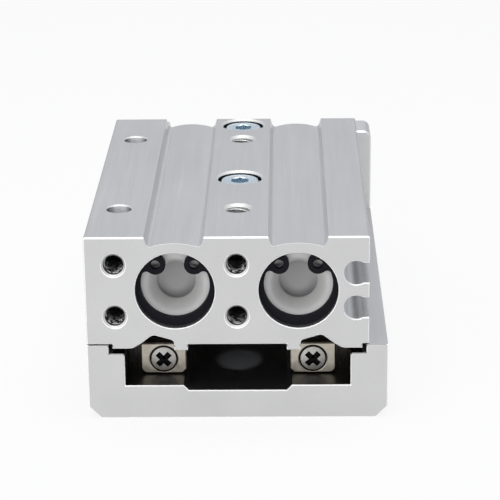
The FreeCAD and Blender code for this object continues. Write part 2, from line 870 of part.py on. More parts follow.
# Channel-shaped table with a shallow trough down the middle of its floor.
def table():
    trough_half = trough_floor_width / 2
    right = [
        (half_width - table_corner_chamfer, 0),
        (half_width, table_corner_chamfer),
        (half_width, wall_top),
        (ledge_half, wall_top),
        (ledge_half, ledge_z),
        (channel_half, ledge_z, ledge_round),
        (channel_half, table_floor),
        (trough_half + trough_chamfer, table_floor),
        (trough_half, table_floor - trough_depth),
    ]
    left = [(-corner[0],) + corner[1:] for corner in reversed(right)]
    channel = break_ends(prism(right + left, 0, table_length), (0,), table_edge_break)
    cuts = []
    for side in sides.values():
        for row in table_hole_rows:
            place = Vector(side * table_hole_x, at(row), 0)
            cuts.append(tapped_m4(place, Vector(0, 0, 1), table_hole_depth))
        for row in rail_screw_rows():
            depth = rail_screw_bite + 2 * shank_clearance
            diameter = m3_thread + 2 * thread_clearance
            cuts.append(cylinder_z(diameter, side * rail_screw_x(), row, table_floor - depth, table_floor))
        bite = end_plate_screw_bite + 2 * shank_clearance
        diameter = m4_thread + 2 * thread_clearance
        x = side * end_plate_screw_x
        cuts.append(cylinder_y(diameter, x, end_plate_screw_z, table_length - bite, table_length))
    return channel.cut(cuts)


def end_plate_seat():
    return overall_length - m4_head_height - head_edge


# End plate, driven by both rods, with the body's valleys carried on along its top.
def end_plate():
    corners = [
        (half_width - table_corner_chamfer, end_plate_lift),
        (half_width, end_plate_lift + table_corner_chamfer),
        (half_width, end_plate_top, end_plate_corner),
        (-half_width, end_plate_top, end_plate_corner),
        (-half_width, end_plate_lift + table_corner_chamfer),
        (-half_width + table_corner_chamfer, end_plate_lift),
    ]
    plate = prism(corners, table_length, overall_length)
    plate = break_ends(plate, (table_length, overall_length), end_chamfer)
    pocket = m4_head + 2 * shank_clearance
    land_start = bush_flange_end() + bush_float / 2
    land_end = land_start + bush_land
    cuts = []
    for side in sides.values():
        x = side * bore_x
        groove = valley(x, table_length, overall_length)
        groove.translate(Vector(0, 0, -end_plate_drop))
        cuts.append(groove)
        rear_pocket = bush_flange_diameter + 2 * bush_side_float
        land_hole = bush_neck_diameter + 2 * bush_side_float
        cuts.append(cylinder_y(rear_pocket, x, bore_z, table_length, land_start))
        cuts.append(cylinder_y(land_hole, x, bore_z, land_start, land_end))
        cuts.append(cylinder_y(pocket, x, bore_z, land_end, overall_length))
        x = side * end_plate_screw_x
        shank = m4_thread + 2 * shank_clearance
        cuts.append(cylinder_y(shank, x, end_plate_screw_z, table_length, overall_length))
        cuts.append(cylinder_y(pocket, x, end_plate_screw_z, end_plate_seat(), overall_length))
        x = side * (half_width - end_plate_hole_edge)
        for z in (end_plate_hole_low, end_plate_hole_low + end_plate_hole_pitch):
            place = Vector(x, at(overall_length), z)
            cuts.append(tapped_m4(place, Vector(0, -1, 0), end_plate_thickness))
    return plate.cut(cuts)


def end_plate_screw(side):
    length = end_plate_seat() - table_length + end_plate_screw_bite
    place = Vector(side * end_plate_screw_x, at(end_plate_seat()), end_plate_screw_z)
    return socket_screw(m4_thread, m4_head, m4_head_height, m4_hexagon, length, place, Vector(0, 1, 0))


# Places of the rollers along one cage.
def cage_start():
    return guide_rear + cage_margin


def cage_end():
    return guide_end - stroke / 2 - cage_margin


def roller_rows():
    room = cage_end() - cage_start() - roller_pitch
    count = int(room / roller_pitch) + 1
    first = (cage_start() + cage_end() - (count - 1) * roller_pitch) / 2
    return [first + roller_pitch * index for index in range(count)]


# Strip cage with one window for each roller.
def roller_cage(side):
    window_width = roller_diameter + 2 * cage_window_clearance
    window_height = roller_diameter * math.sqrt(2) + cage_thickness + 2 * cage_window_clearance
    height = window_height + 2 * cage_border
    near = roller_x - cage_thickness / 2
    length = cage_end() - cage_start()
    corner = Vector(near, at(cage_start()), roller_z - height / 2)
    strip = Part.makeBox(cage_thickness, length, height, corner)
    windows = []
    for row in roller_rows():
        corner = Vector(near, at(row) - window_width / 2, roller_z - window_height / 2)
        windows.append(Part.makeBox(cage_thickness, window_width, window_height, corner))
    return mirrored(strip.cut(windows), side)


# Crossed rollers: every second one leans the other way.
def rollers(side):
    length = roller_diameter - 5 * roller_clearance
    solids = []
    for index, row in enumerate(roller_rows()):
        lean = 1 if index % 2 == 0 else -1
        axis = Vector(1, 0, lean).normalize()
        start = Vector(side * roller_x, at(row), roller_z) - axis * (length / 2)
        solids.append(Part.makeCylinder(roller_diameter / 2, length, start, axis))
    return solids


os.makedirs("parts", exist_ok=True)

save("cylinder_body", [cylinder_body()])
save("guide_block", [guide_block()])
save("guide_block_screws", [guide_screw(row) for row in guide_screw_rows])
save("table", [table()])
save("end_plate", [end_plate()])
save("end_plate_screws", [end_plate_screw(side) for side in sides.values()])

end_piece_faces = {
    "rear": (rail_rear - end_piece_thickness, rail_rear, 1),
    "front": (rail_front + end_piece_thickness, rail_front, -1),
}
for name, side in sides.items():
    x = side * bore_x
    save("head_cap_" + name, [head_cap(x)])
    save("head_seal_" + name, [seal_ring(x, (cap_seat + cap_end) / 2)])
    save("head_retaining_ring_" + name, [retaining_ring(x, ring_depth)])
    save("head_bumper_" + name, [head_bumper(x)])
    save("rod_cover_" + name, [rod_cover(x)])
    save("rod_cover_seal_" + name, [seal_ring(x, rod_cover_groove())])
    save("rod_retaining_ring_" + name, [retaining_ring(x, rod_ring_rear)])
    save("rod_seal_" + name, [rod_seal(x)])
    save("rod_bumper_" + name, [rod_bumper(x)])
    save("piston_" + name, [piston(x)])
    save("piston_seal_" + name, [piston_seal(x)])
    save("piston_magnet_" + name, [magnet(x)])
    save("piston_nut_" + name, [piston_nut(x)])
    save("piston_rod_" + name, [piston_rod(x)])
    save("floating_bush_" + name, [floating_bush(x)])
    save("rod_screw_" + name, [rod_screw(x)])
    save("rail_" + name, [rail(side)])
    save("roller_cage_" + name, [roller_cage(side)])
    save("rollers_" + name, rollers(side))
    for end, (outer_face, inner_face, inwards) in end_piece_faces.items():
        save("rail_end_piece_" + end + "_" + name, [end_piece(side, outer_face, inner_face)])

rail_screws = []
end_screws = []
for side in sides.values():
    rail_screws += [rail_screw(side, row) for row in rail_screw_rows()]
    end_screws += [end_screw(side, faces[0], faces[2]) for faces in end_piece_faces.values()]
save("rail_screws", rail_screws)
save("rail_end_screws", end_screws)
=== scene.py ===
import json
import math

import bpy
import numpy as np
from mathutils import Matrix, Vector


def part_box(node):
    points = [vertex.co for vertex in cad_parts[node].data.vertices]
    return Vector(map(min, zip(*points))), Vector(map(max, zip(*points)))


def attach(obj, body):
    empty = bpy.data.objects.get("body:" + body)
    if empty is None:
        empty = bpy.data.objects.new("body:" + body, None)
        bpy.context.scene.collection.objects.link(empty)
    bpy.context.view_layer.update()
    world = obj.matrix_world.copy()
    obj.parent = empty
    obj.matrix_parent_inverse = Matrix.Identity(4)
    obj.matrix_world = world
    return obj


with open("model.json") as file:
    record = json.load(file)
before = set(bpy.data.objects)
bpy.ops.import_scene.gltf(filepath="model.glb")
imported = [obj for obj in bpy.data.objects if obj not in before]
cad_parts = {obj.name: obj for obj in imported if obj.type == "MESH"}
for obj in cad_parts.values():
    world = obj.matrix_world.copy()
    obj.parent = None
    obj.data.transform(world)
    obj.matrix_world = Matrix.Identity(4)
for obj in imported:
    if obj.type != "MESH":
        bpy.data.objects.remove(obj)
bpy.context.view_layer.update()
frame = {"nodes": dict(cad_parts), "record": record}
nodes = frame["nodes"]
mounts = {mount["name"]: mount for mount in frame["record"]["mounts"]}
farOff = 1.0  # metres, past every piece: the open end of a range
print("frame:", len(nodes), "nodes,", len(mounts), "mounts")


# one node of a finish; sockets takes a socket's name or number to a value or to another node's output
def addNode(tree, kind, sockets, **settings):
    made = tree.nodes.new("ShaderNode" + kind)
    for name, value in settings.items():
        setattr(made, name, value)
    for name, value in sockets.items():
        if isinstance(value, bpy.types.NodeSocket):
            tree.links.new(value, made.inputs[name])
        else:
            made.inputs[name].default_value = value
    return made


# a new finish whose even values are set on the shader itself
def startFinish(name, shaderValues):
    finish = bpy.data.materials.new(name)
    finish.use_nodes = True
    tree = finish.node_tree
    shader = tree.nodes["Principled BSDF"]
    for socket, value in shaderValues.items():
        shader.inputs[socket].default_value = value
    place = addNode(tree, "TexCoord", {}).outputs["Object"]
    return finish, tree, shader, place


# joins a finish's colour, roughness and raised marks to its shader
def endFinish(tree, shader, color, rough, marks, depth):
    bump = addNode(tree, "Bump", {"Height": marks, "Distance": depth, "Strength": 1.0})
    tree.links.new(color, shader.inputs["Base Color"])
    tree.links.new(rough, shader.inputs["Roughness"])
    tree.links.new(bump.outputs[0], shader.inputs["Normal"])


# noise with its own count of grains per metre along X, Y and Z
def grain(tree, place, perMetre, detail, roughness=0.55):
    spread = addNode(tree, "VectorMath", {0: place, 1: perMetre}, operation="MULTIPLY").outputs[0]
    sockets = {"Vector": spread, "Scale": 1.0, "Detail": detail, "Roughness": roughness}
    return addNode(tree, "TexNoise", sockets).outputs[0]


# a value carried from one range to another and held at its ends; most noise lies between 0.3 and 0.7
def span(tree, value, low, high, fromLow=0.3, fromHigh=0.7):
    sockets = {"Value": value, "From Min": fromLow, "From Max": fromHigh, "To Min": low, "To Max": high}
    return addNode(tree, "MapRange", sockets).outputs[0]


def math2(tree, operation, first, second=0.0):
    return addNode(tree, "Math", {0: first, 1: second}, operation=operation).outputs[0]


def both(tree, first, second):
    return math2(tree, "MULTIPLY", first, second)


def under(tree, value, limit):
    return math2(tree, "LESS_THAN", value, limit)


# 1 between two bounds of one coordinate, fading over a little at both ends
def between(tree, value, low, high, fade=0.0001):
    return both(tree, span(tree, value, 0, 1, low - fade, low), span(tree, value, 1, 0, high, high + fade))


# both ends of a range that is counted from a place
def rangeFrom(start, reach):
    return start + reach[0], start + reach[1]


# first where the share is 0 and second where it is 1; each is a colour or another node's output
def mixColor(tree, share, first, second):
    ends = [tone if isinstance(tone, bpy.types.NodeSocket) else (*tone, 1) for tone in (first, second)]
    return addNode(tree, "Mix", {0: share, 6: ends[0], 7: ends[1]}, data_type="RGBA").outputs[2]


def mixValue(tree, share, first, second):
    return addNode(tree, "Mix", {0: share, 2: first, 3: second}).outputs[0]


def twoTones(tree, marks, look):
    return mixColor(tree, span(tree, marks, 0, 1), look["dark"], look["pale"])


def offsetFrom(tree, place, centre):
    return addNode(tree, "VectorMath", {0: place, 1: centre}, operation="SUBTRACT").outputs[0]


# distance from an axis through a point; along is the number of the axis's own coordinate
def axisDistance(tree, place, through, along):
    keep = [0 if axis == along else 1 for axis in range(3)]
    offset = offsetFrom(tree, place, through)
    across = addNode(tree, "VectorMath", {0: offset, 1: keep}, operation="MULTIPLY").outputs[0]
    return addNode(tree, "VectorMath", {0: across}, operation="LENGTH").outputs["Value"]


# distance from the nearest of the axes that one hole and its mirror images about a centre have
def nearestAxis(tree, place, centre, hole, along):
    offset = offsetFrom(tree, place, centre)
    folded = addNode(tree, "VectorMath", {0: offset}, operation="ABSOLUTE").outputs[0]
    return axisDistance(tree, folded, np.abs(np.array(hole) - np.array(centre)), along)


# distance sideways from the middle of the nearer bore
def besideBore(tree, x):
    low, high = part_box("head_cap_right")
    fromMiddle = math2(tree, "ABSOLUTE", x)
    return math2(tree, "ABSOLUTE", math2(tree, "SUBTRACT", fromMiddle, (low.x + high.x) / 2))


# places of a pattern's holes, from the record's centre and spacings in millimetres
def holePlaces(mount):
    centre = np.array(mount["pos_m"])
    across = [axis for axis in range(3) if abs(mount["axis"][axis]) < 0.5]
    reach = np.zeros((2, 3))
    reach[0, across[0]] = mount["dims"].get("spacing_x_mm", 0) / 2000
    reach[1, across[1]] = mount["dims"].get("spacing_y_mm", 0) / 2000
    return [centre + a * reach[0] + b * reach[1] for a in (-1, 1) for b in (-1, 1)]


# distance from the nearest of the top's four mounting holes
def topHoleReach(tree, place):
    top = mounts["body_holes"]
    return nearestAxis(tree, place, top["pos_m"], holePlaces(top)[0], 2)


# distance from the nearer of the guide block's screws, and the radius of their heads
def blockScrewReach(tree, place):
    low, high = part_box("guide_block_screws")
    headRadius = (high.x - low.x) / 2
    middle = (low + high) / 2
    return nearestAxis(tree, place, middle, (middle.x, high.y - headRadius, middle.z), 2), headRadius


# Each layer of the aluminium below is a mask, a tone, and a roughness or None where that stays.

# painted highlights on the rear end's bevels, and painted shade on the bevels along the table's walls
rearEdges = {
    "tone": (0.95, 0.95, 0.95),      # painted highlight on the fine bevels of the rear end
    "wallTone": (0.48, 0.48, 0.48),  # painted shade on those along the table's walls and their ledges
    "rough": 0.9,
    "depth": (0.00002, 0.00014),     # from the rear face
    "fade": 0.00001,
    "ledge": 0.00155,                # drop from the walls to the ledges
    "band": 0.0003,                  # of the wall tone: its height, and its distance from the outer sides
}


def edgeLayers(tree, x, y, z):
    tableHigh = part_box("table")[1]
    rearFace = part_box("cylinder_body")[0].y
    edges = between(tree, y, *rangeFrom(rearFace, rearEdges["depth"]), rearEdges["fade"])
    fromMiddle = math2(tree, "ABSOLUTE", x)
    inner = both(tree, edges, between(tree, fromMiddle, -farOff, tableHigh.x - rearEdges["band"]))
    layers = [(edges, rearEdges["tone"], rearEdges["rough"])]
    for level in (tableHigh.z, tableHigh.z - rearEdges["ledge"]):
        upper = between(tree, z, level - rearEdges["band"], level)
        layers.append((both(tree, inner, upper), rearEdges["wallTone"], None))
    return layers


# painted light: the valleys' floors lighter towards their sides, where shade falls
valleys = {
    "tone": (0.70, 0.70, 0.71),      # painted light on the sides of their floors, against the shade there
    "sides": (0.0020, 0.0043),       # from their middles
    "reach": 0.00446,
    "depth": (-0.00178, -0.0003),    # from the top
    "rim": 0.0003,                   # left as it is at both ends
}


def valleyLayer(tree, x, y, z):
    low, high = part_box("cylinder_body")
    fromMiddle = besideBore(tree, x)
    level = between(tree, z, *rangeFrom(high.z, valleys["depth"]))
    inside = both(tree, under(tree, fromMiddle, valleys["reach"]), level)
    inside = both(tree, inside, between(tree, y, low.y + valleys["rim"], high.y - valleys["rim"]))
    return both(tree, inside, span(tree, fromMiddle, 0, 1, *valleys["sides"])), valleys["tone"], None


countersinks = {
    "tone": (0.66, 0.66, 0.66),      # of the holes and wells in the top
    "rough": 0.62,
    "holeReach": 0.0027,             # from a hole's middle
    "wellReach": 0.0009,             # past a screw's head
    "depth": (-0.0006, -0.00002),    # from the top
    "fade": 0.00001,
}


def countersinkLayer(tree, place, z):
    inHole = under(tree, topHoleReach(tree, place), countersinks["holeReach"])
    reach, headRadius = blockScrewReach(tree, place)
    inWell = under(tree, reach, headRadius + countersinks["wellReach"])
    top = mounts["body_holes"]["pos_m"][2]
    level = between(tree, z, *rangeFrom(top, countersinks["depth"]), countersinks["fade"])
    sunk = both(tree, level, math2(tree, "MAXIMUM", inHole, inWell))
    return sunk, countersinks["tone"], countersinks["rough"]


plainHoles = {
    "tone": (0.85, 0.86, 0.88),      # painted light on the back and front of the outer pair's walls, then painted shade on their flanks
    "flank": (0.16, 0.16, 0.17),
    "flankFrom": 0.4,                # share of the radius
    "rough": 0.8,
    "slack": 0.00005,
}


# painted light and shade inside the outer pair of plain holes in the top
def plainHoleLayer(tree, place, x):
    top = mounts["body_holes"]
    radius = top["dims"]["hole_r_mm"] / 1000
    inside = under(tree, topHoleReach(tree, place), radius + plainHoles["slack"])
    outerPair = between(tree, x, -farOff, top["pos_m"][0])
    sideways = math2(tree, "ABSOLUTE", math2(tree, "SUBTRACT", x, holePlaces(top)[0][0]))
    flank = span(tree, sideways, 0, 1, plainHoles["flankFrom"] * radius, radius)
    tone = mixColor(tree, flank, plainHoles["tone"], plainHoles["flank"])
    return both(tree, inside, outerPair), tone, plainHoles["rough"]


sensorGrooves = {
    "tone": (0.80, 0.81, 0.825),     # painted light on the side away from their slots
    "reach": 0.0022,
    "fade": (-0.0012, -0.0003),      # from their middles
}


def grooveLayer(tree, place, x):
    upper, lower = (np.array(mounts[name + "_sensor_groove"]["pos_m"]) for name in ("upper", "lower"))
    inside = under(tree, nearestAxis(tree, place, (upper + lower) / 2, upper, 1), sensorGrooves["reach"])
    away = span(tree, x, 1, 0, *rangeFrom(upper[0], sensorGrooves["fade"]))
    return both(tree, inside, away), sensorGrooves["tone"], None


screwWells = {
    "tone": (0.04, 0.042, 0.046),    # painted shade on the walls beside the heads of the guide block's screws
    "reach": 0.00048,                # past a head's edge
    "slack": 0.00002,
}


def wellLayer(tree, place, z):
    low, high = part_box("guide_block_screws")
    reach, headRadius = blockScrewReach(tree, place)
    level = between(tree, z, low.z, high.z + screwWells["slack"])
    return both(tree, under(tree, reach, headRadius + screwWells["reach"]), level), screwWells["tone"], None


# painted shade in the guide channel and on its trough, and a painted pool of light on the trough
channelShade = {
    "tone": (0.10, 0.097, 0.09),
    "rough": 0.36,
    "pastRails": 0.002,
    "underBlock": 0.0006,            # down to the trough
    "rim": 0.0003,                   # left unshaded at both ends
    "troughTone": (0.22, 0.22, 0.225),
    "troughSlack": 0.0001,
    "chalk": (0.19, 0.198, 0.215),   # painted pool of light on the trough, where light through the top's hole falls
    "chalkHalf": (0.0043, 0.0054),   # half of its width and length
    "chalkAhead": 0.0015,            # of the first row of mounting holes
    "chalkFade": (0.7, 1.0),
}


# the guide channel: between the walls, from the trough up to the roofs of the body's pockets,
# less the guide block's seat
def channelMask(tree, x, y, z):
    rim = channelShade["rim"]
    tableLow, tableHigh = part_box("table")
    bodyLow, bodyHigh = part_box("cylinder_body")
    blockLow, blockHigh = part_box("guide_block")
    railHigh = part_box("rail_right")[1]
    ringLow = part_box("head_retaining_ring_right")[0]
    fromMiddle = math2(tree, "ABSOLUTE", x)
    inside = between(tree, fromMiddle, -farOff, railHigh.x + channelShade["pastRails"])
    level = between(tree, z, blockLow.z - channelShade["underBlock"], ringLow.z - rim)
    frontEnd = span(tree, z, tableHigh.y, bodyHigh.y - rim, railHigh.z, bodyLow.z)
    deep = both(tree, between(tree, y, tableLow.y + rim, farOff), under(tree, y, frontEnd))
    overBlock = between(tree, fromMiddle, -farOff, blockHigh.x)
    seat = both(tree, overBlock, between(tree, z, bodyLow.z, farOff))
    channel = both(tree, both(tree, inside, level), deep)
    return both(tree, channel, math2(tree, "SUBTRACT", 1, seat))


def lightPoolMask(tree, place):
    firstRow = min(hole[1] for hole in holePlaces(mounts["body_holes"]))
    width, length = channelShade["chalkHalf"]
    offset = offsetFrom(tree, place, (0, firstRow - channelShade["chalkAhead"], 0))
    sockets = {0: offset, 1: (1 / width, 1 / length, 0)}
    scaled = addNode(tree, "VectorMath", sockets, operation="MULTIPLY").outputs[0]
    reach = addNode(tree, "VectorMath", {0: scaled}, operation="LENGTH").outputs["Value"]
    return span(tree, reach, 1, 0, *channelShade["chalkFade"])


rearThreads = {
    "tone": (0.015, 0.015, 0.017),   # painted shade on all the walls of the rear tapped holes, darker deeper down
    "oilShare": 0.985,
    "slack": 0.00005,
    "depth": (0.0003, 0.009),
    "crest": 0.00006,                # inside the core radius
    "bare": (1.0, 0.10),             # share of the crests kept out of the painted shade as painted glints, at the mouth and deep down
    "bareDepth": (0.0010, 0.0048),
    "gleams": (1500, 900, 1500),
    "gleamDetail": 2.0,
    "gleamRange": (0.43, 0.58),
}


def rearThreadLayer(tree, place, y):
    rear = mounts["rear_holes"]
    radius = rear["dims"]["hole_r_mm"] / 1000
    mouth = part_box("cylinder_body")[0].y
    reach = nearestAxis(tree, place, rear["pos_m"], holePlaces(rear)[0], 1)
    depth = between(tree, y, *rangeFrom(mouth, rearThreads["depth"]))
    holes = both(tree, under(tree, reach, radius + rearThreads["slack"]), depth)
    crest = under(tree, reach, radius - rearThreads["crest"])
    bare = span(tree, y, *rearThreads["bare"], *rangeFrom(mouth, rearThreads["bareDepth"]))
    gleams = grain(tree, place, rearThreads["gleams"], rearThreads["gleamDetail"])
    spots = span(tree, gleams, 0, 1, *rearThreads["gleamRange"])
    # painted glints: spots on the crests where the painted shade is lifted
    gleam = both(tree, crest, both(tree, bare, spots))
    holeShade = math2(tree, "SUBTRACT", rearThreads["oilShare"], gleam)
    return both(tree, holes, holeShade), rearThreads["tone"], None


aluminium = {
    "pale": (0.67, 0.67, 0.67),
    "dark": (0.60, 0.60, 0.605),
    "plate": (0.72, 0.725, 0.73),    # end plate
    "rough": (0.34, 0.42),
    "drawn": (5200, 45, 5200),       # drawing lines along the stroke
    "drawnDetail": 4.0,
    "cloudy": (90, 40, 90),
    "cloudyDetail": 2.0,
    "lineDepth": 1.2e-6,
}


# body, table and end plate: drawn metal, with later layers over earlier ones
def anodisedAluminium():
    finish, tree, shader, place = startFinish("anodisedAluminium", {})
    x, y, z = addNode(tree, "SeparateXYZ", {0: place}).outputs
    lines = grain(tree, place, aluminium["drawn"], aluminium["drawnDetail"])
    clouds = grain(tree, place, aluminium["cloudy"], aluminium["cloudyDetail"])
    channel = channelMask(tree, x, y, z)
    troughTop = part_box("guide_block")[0].z + channelShade["troughSlack"]
    trough = both(tree, channel, between(tree, z, -farOff, troughTop))
    chalk = both(tree, trough, lightPoolMask(tree, place))
    layers = [
        (between(tree, y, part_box("end_plate")[0].y, farOff), aluminium["plate"], None),
        *edgeLayers(tree, x, y, z),
        valleyLayer(tree, x, y, z),
        countersinkLayer(tree, place, z),
        plainHoleLayer(tree, place, x),
        grooveLayer(tree, place, x),
        wellLayer(tree, place, z),
        # painted shade in the guide channel and its trough, then the painted pool of light
        (channel, channelShade["tone"], channelShade["rough"]),
        (trough, channelShade["troughTone"], None),
        (chalk, channelShade["chalk"], None),
        rearThreadLayer(tree, place, y),
    ]
    mean = math2(tree, "MULTIPLY", math2(tree, "ADD", lines, clouds), 0.5)
    color = twoTones(tree, mean, aluminium)
    rough = span(tree, lines, *aluminium["rough"])
    for mask, tone, evenRough in layers:
        color = mixColor(tree, mask, color, tone)
        if evenRough is not None:
            rough = mixValue(tree, mask, rough, evenRough)
    endFinish(tree, shader, color, rough, lines, aluminium["lineDepth"])
    tree.links.new(span(tree, chalk, 1, 0, 0, 1), shader.inputs["Metallic"])  # the painted pool of light is no metal
    return finish


nickel = {
    "pale": (0.64, 0.595, 0.52),
    "dark": (0.42, 0.385, 0.325),
    "rough": (0.34, 0.52),
    "pocket": (0.02, 0.019, 0.018),  # painted shade round the screws' heads
    "pocketReach": 0.0024,
    "pocketDepth": 0.00016,
    "pocketFade": 0.00001,
    "blotches": (700, 700, 700),
    "detail": 5.0,
    "depth": 3.0e-6,
}


# end pieces of the rails
def nickelPlate():
    finish, tree, shader, place = startFinish("nickelPlate", {"Metallic": 1.0})
    blotches = grain(tree, place, nickel["blotches"], nickel["detail"])
    low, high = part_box("rail_end_piece_rear_right")
    screwLow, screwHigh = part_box("rail_end_screws")
    level = (screwLow.z + screwHigh.z) / 2
    reach = nearestAxis(tree, place, (0, 0, level), ((low.x + high.x) / 2, 0, level), 1)
    y = addNode(tree, "SeparateXYZ", {0: place}).outputs["Y"]
    rear = low.y + nickel["pocketDepth"]
    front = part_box("rail_end_piece_front_right")[1].y - nickel["pocketDepth"]
    sunk = between(tree, y, rear, front, nickel["pocketFade"])
    pocket = both(tree, sunk, under(tree, reach, nickel["pocketReach"]))
    color = mixColor(tree, pocket, twoTones(tree, blotches, nickel), nickel["pocket"])
    endFinish(tree, shader, color, span(tree, blotches, *nickel["rough"]), blotches, nickel["depth"])
    return finish


crossSteel = {
    "pale": (0.63, 0.61, 0.58),
    "dark": (0.42, 0.41, 0.39),
    "rough": (0.47, 0.62),
    "turned": 9000,                  # rings per metre from the screw's middle
    "depth": 2.0e-6,
    # painted shade in the cross recess of the head
    "recess": (0.012, 0.012, 0.013),
    "recessFrom": 0.00003,           # depth under the domed top of the head
    "recessWithin": 0.00165,
    "domeRadius": 0.0075,
}


# cross-recess screws; the dome sags by the squared distance from its middle over twice its radius
def crossScrewSteel():
    finish, tree, shader, place = startFinish("crossScrewSteel", {"Metallic": 1.0})
    low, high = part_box("rail_end_screws")
    middle = (low + high) / 2
    pieceLow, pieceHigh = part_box("rail_end_piece_rear_right")
    screw = ((pieceLow.x + pieceHigh.x) / 2, middle.y, middle.z)
    radius = nearestAxis(tree, place, middle, screw, 1)
    ringPlace = math2(tree, "MULTIPLY", radius, crossSteel["turned"])
    rings = addNode(tree, "TexNoise", {"W": ringPlace, "Scale": 1.0}, noise_dimensions="1D").outputs[0]
    y = addNode(tree, "SeparateXYZ", {0: place}).outputs["Y"]
    fromMiddle = math2(tree, "ABSOLUTE", math2(tree, "SUBTRACT", y, middle.y))
    squared = math2(tree, "MULTIPLY", radius, radius)
    sag = math2(tree, "MULTIPLY", squared, 0.5 / crossSteel["domeRadius"])
    headTop = (high.y - low.y) / 2 - crossSteel["recessFrom"]
    deep = under(tree, math2(tree, "ADD", fromMiddle, sag), headTop)
    recess = both(tree, deep, under(tree, radius, crossSteel["recessWithin"]))
    color = mixColor(tree, recess, twoTones(tree, rings, crossSteel), crossSteel["recess"])
    endFinish(tree, shader, color, span(tree, rings, *crossSteel["rough"]), rings, crossSteel["depth"])
    return finish


resin = {
    "pale": (0.70, 0.70, 0.69),
    "dark": (0.66, 0.66, 0.65),
    "low": (0.555, 0.55, 0.55),      # painted shade: the rim darker towards its lowest part
    "wall": (0.52, 0.515, 0.50),     # painted shade on the deepest part of the dish's wall
    "wallDepth": (0.0008, 0.0032),   # from the rim's face
    # painted shade on the dish's floor
    "floor": (0.375, 0.37, 0.37),
    "floorDepth": (0.0029, 0.0033),
    "dust": (0.09, 0.09, 0.095),     # painted shade low round the dish's floor
    "dustLevel": (0.0008, -0.0022),  # over and under the bore's middle
    "dustReach": (0.0016, 0.0032),   # from the middle of the floor
    "lugShade": (0.06, 0.06, 0.065),  # behind the plier holes of the ring
    "lugPlace": (0.0032, 0.0037),    # beside and over the bore's middle
    "lugReach": 0.0011,
    "lugShare": (0.97, 0.30),        # below and above the middle of a plier hole
    "lugFade": (-0.0001, 0.0003),
    "rough": (0.38, 0.50),
    "flow": (420, 420, 420),
    "pores": (6000, 6000, 6000),
    "detail": 2.0,
    "depth": 4.0e-6,
}


def lugLayer(tree, x, z, boreLevel):
    lugX, lugZ = resin["lugPlace"][0], boreLevel + resin["lugPlace"][1]
    folded = addNode(tree, "CombineXYZ", {0: besideBore(tree, x), 2: z}).outputs[0]
    behindHole = under(tree, axisDistance(tree, folded, (lugX, 0, lugZ), 1), resin["lugReach"])
    share = span(tree, z, *resin["lugShare"], *rangeFrom(lugZ, resin["lugFade"]))
    return both(tree, behindHole, share), resin["lugShade"]


# dished head caps: rim, wall and floor, with painted shade deeper in the dish and low round its floor, and
# the shade behind the ring's lugs
def capResin():
    finish, tree, shader, place = startFinish("capResin", {"Metallic": 0.0})
    x, y, z = addNode(tree, "SeparateXYZ", {0: place}).outputs
    flow = grain(tree, place, resin["flow"], resin["detail"])
    pores = grain(tree, place, resin["pores"], resin["detail"])
    low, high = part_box("head_cap_right")
    boreX, boreLevel = (low.x + high.x) / 2, (low.z + high.z) / 2
    wall = span(tree, y, 0, 1, *rangeFrom(low.y, resin["wallDepth"]))
    floor = span(tree, y, 0, 1, *rangeFrom(low.y, resin["floorDepth"]))
    lowInDish = both(tree, floor, span(tree, z, 0, 1, *rangeFrom(boreLevel, resin["dustLevel"])))
    reach = nearestAxis(tree, place, (0, 0, boreLevel), (boreX, 0, boreLevel), 1)
    layers = [
        (span(tree, z, 1, 0, low.z, high.z), resin["low"]),
        (wall, resin["wall"]),
        (floor, resin["floor"]),
        (both(tree, lowInDish, span(tree, reach, 0, 1, *resin["dustReach"])), resin["dust"]),
        lugLayer(tree, x, z, boreLevel),
    ]
    color = twoTones(tree, flow, resin)
    for mask, tone in layers:
        color = mixColor(tree, mask, color, tone)
    endFinish(tree, shader, color, span(tree, pores, *resin["rough"]), pores, resin["depth"])
    return finish


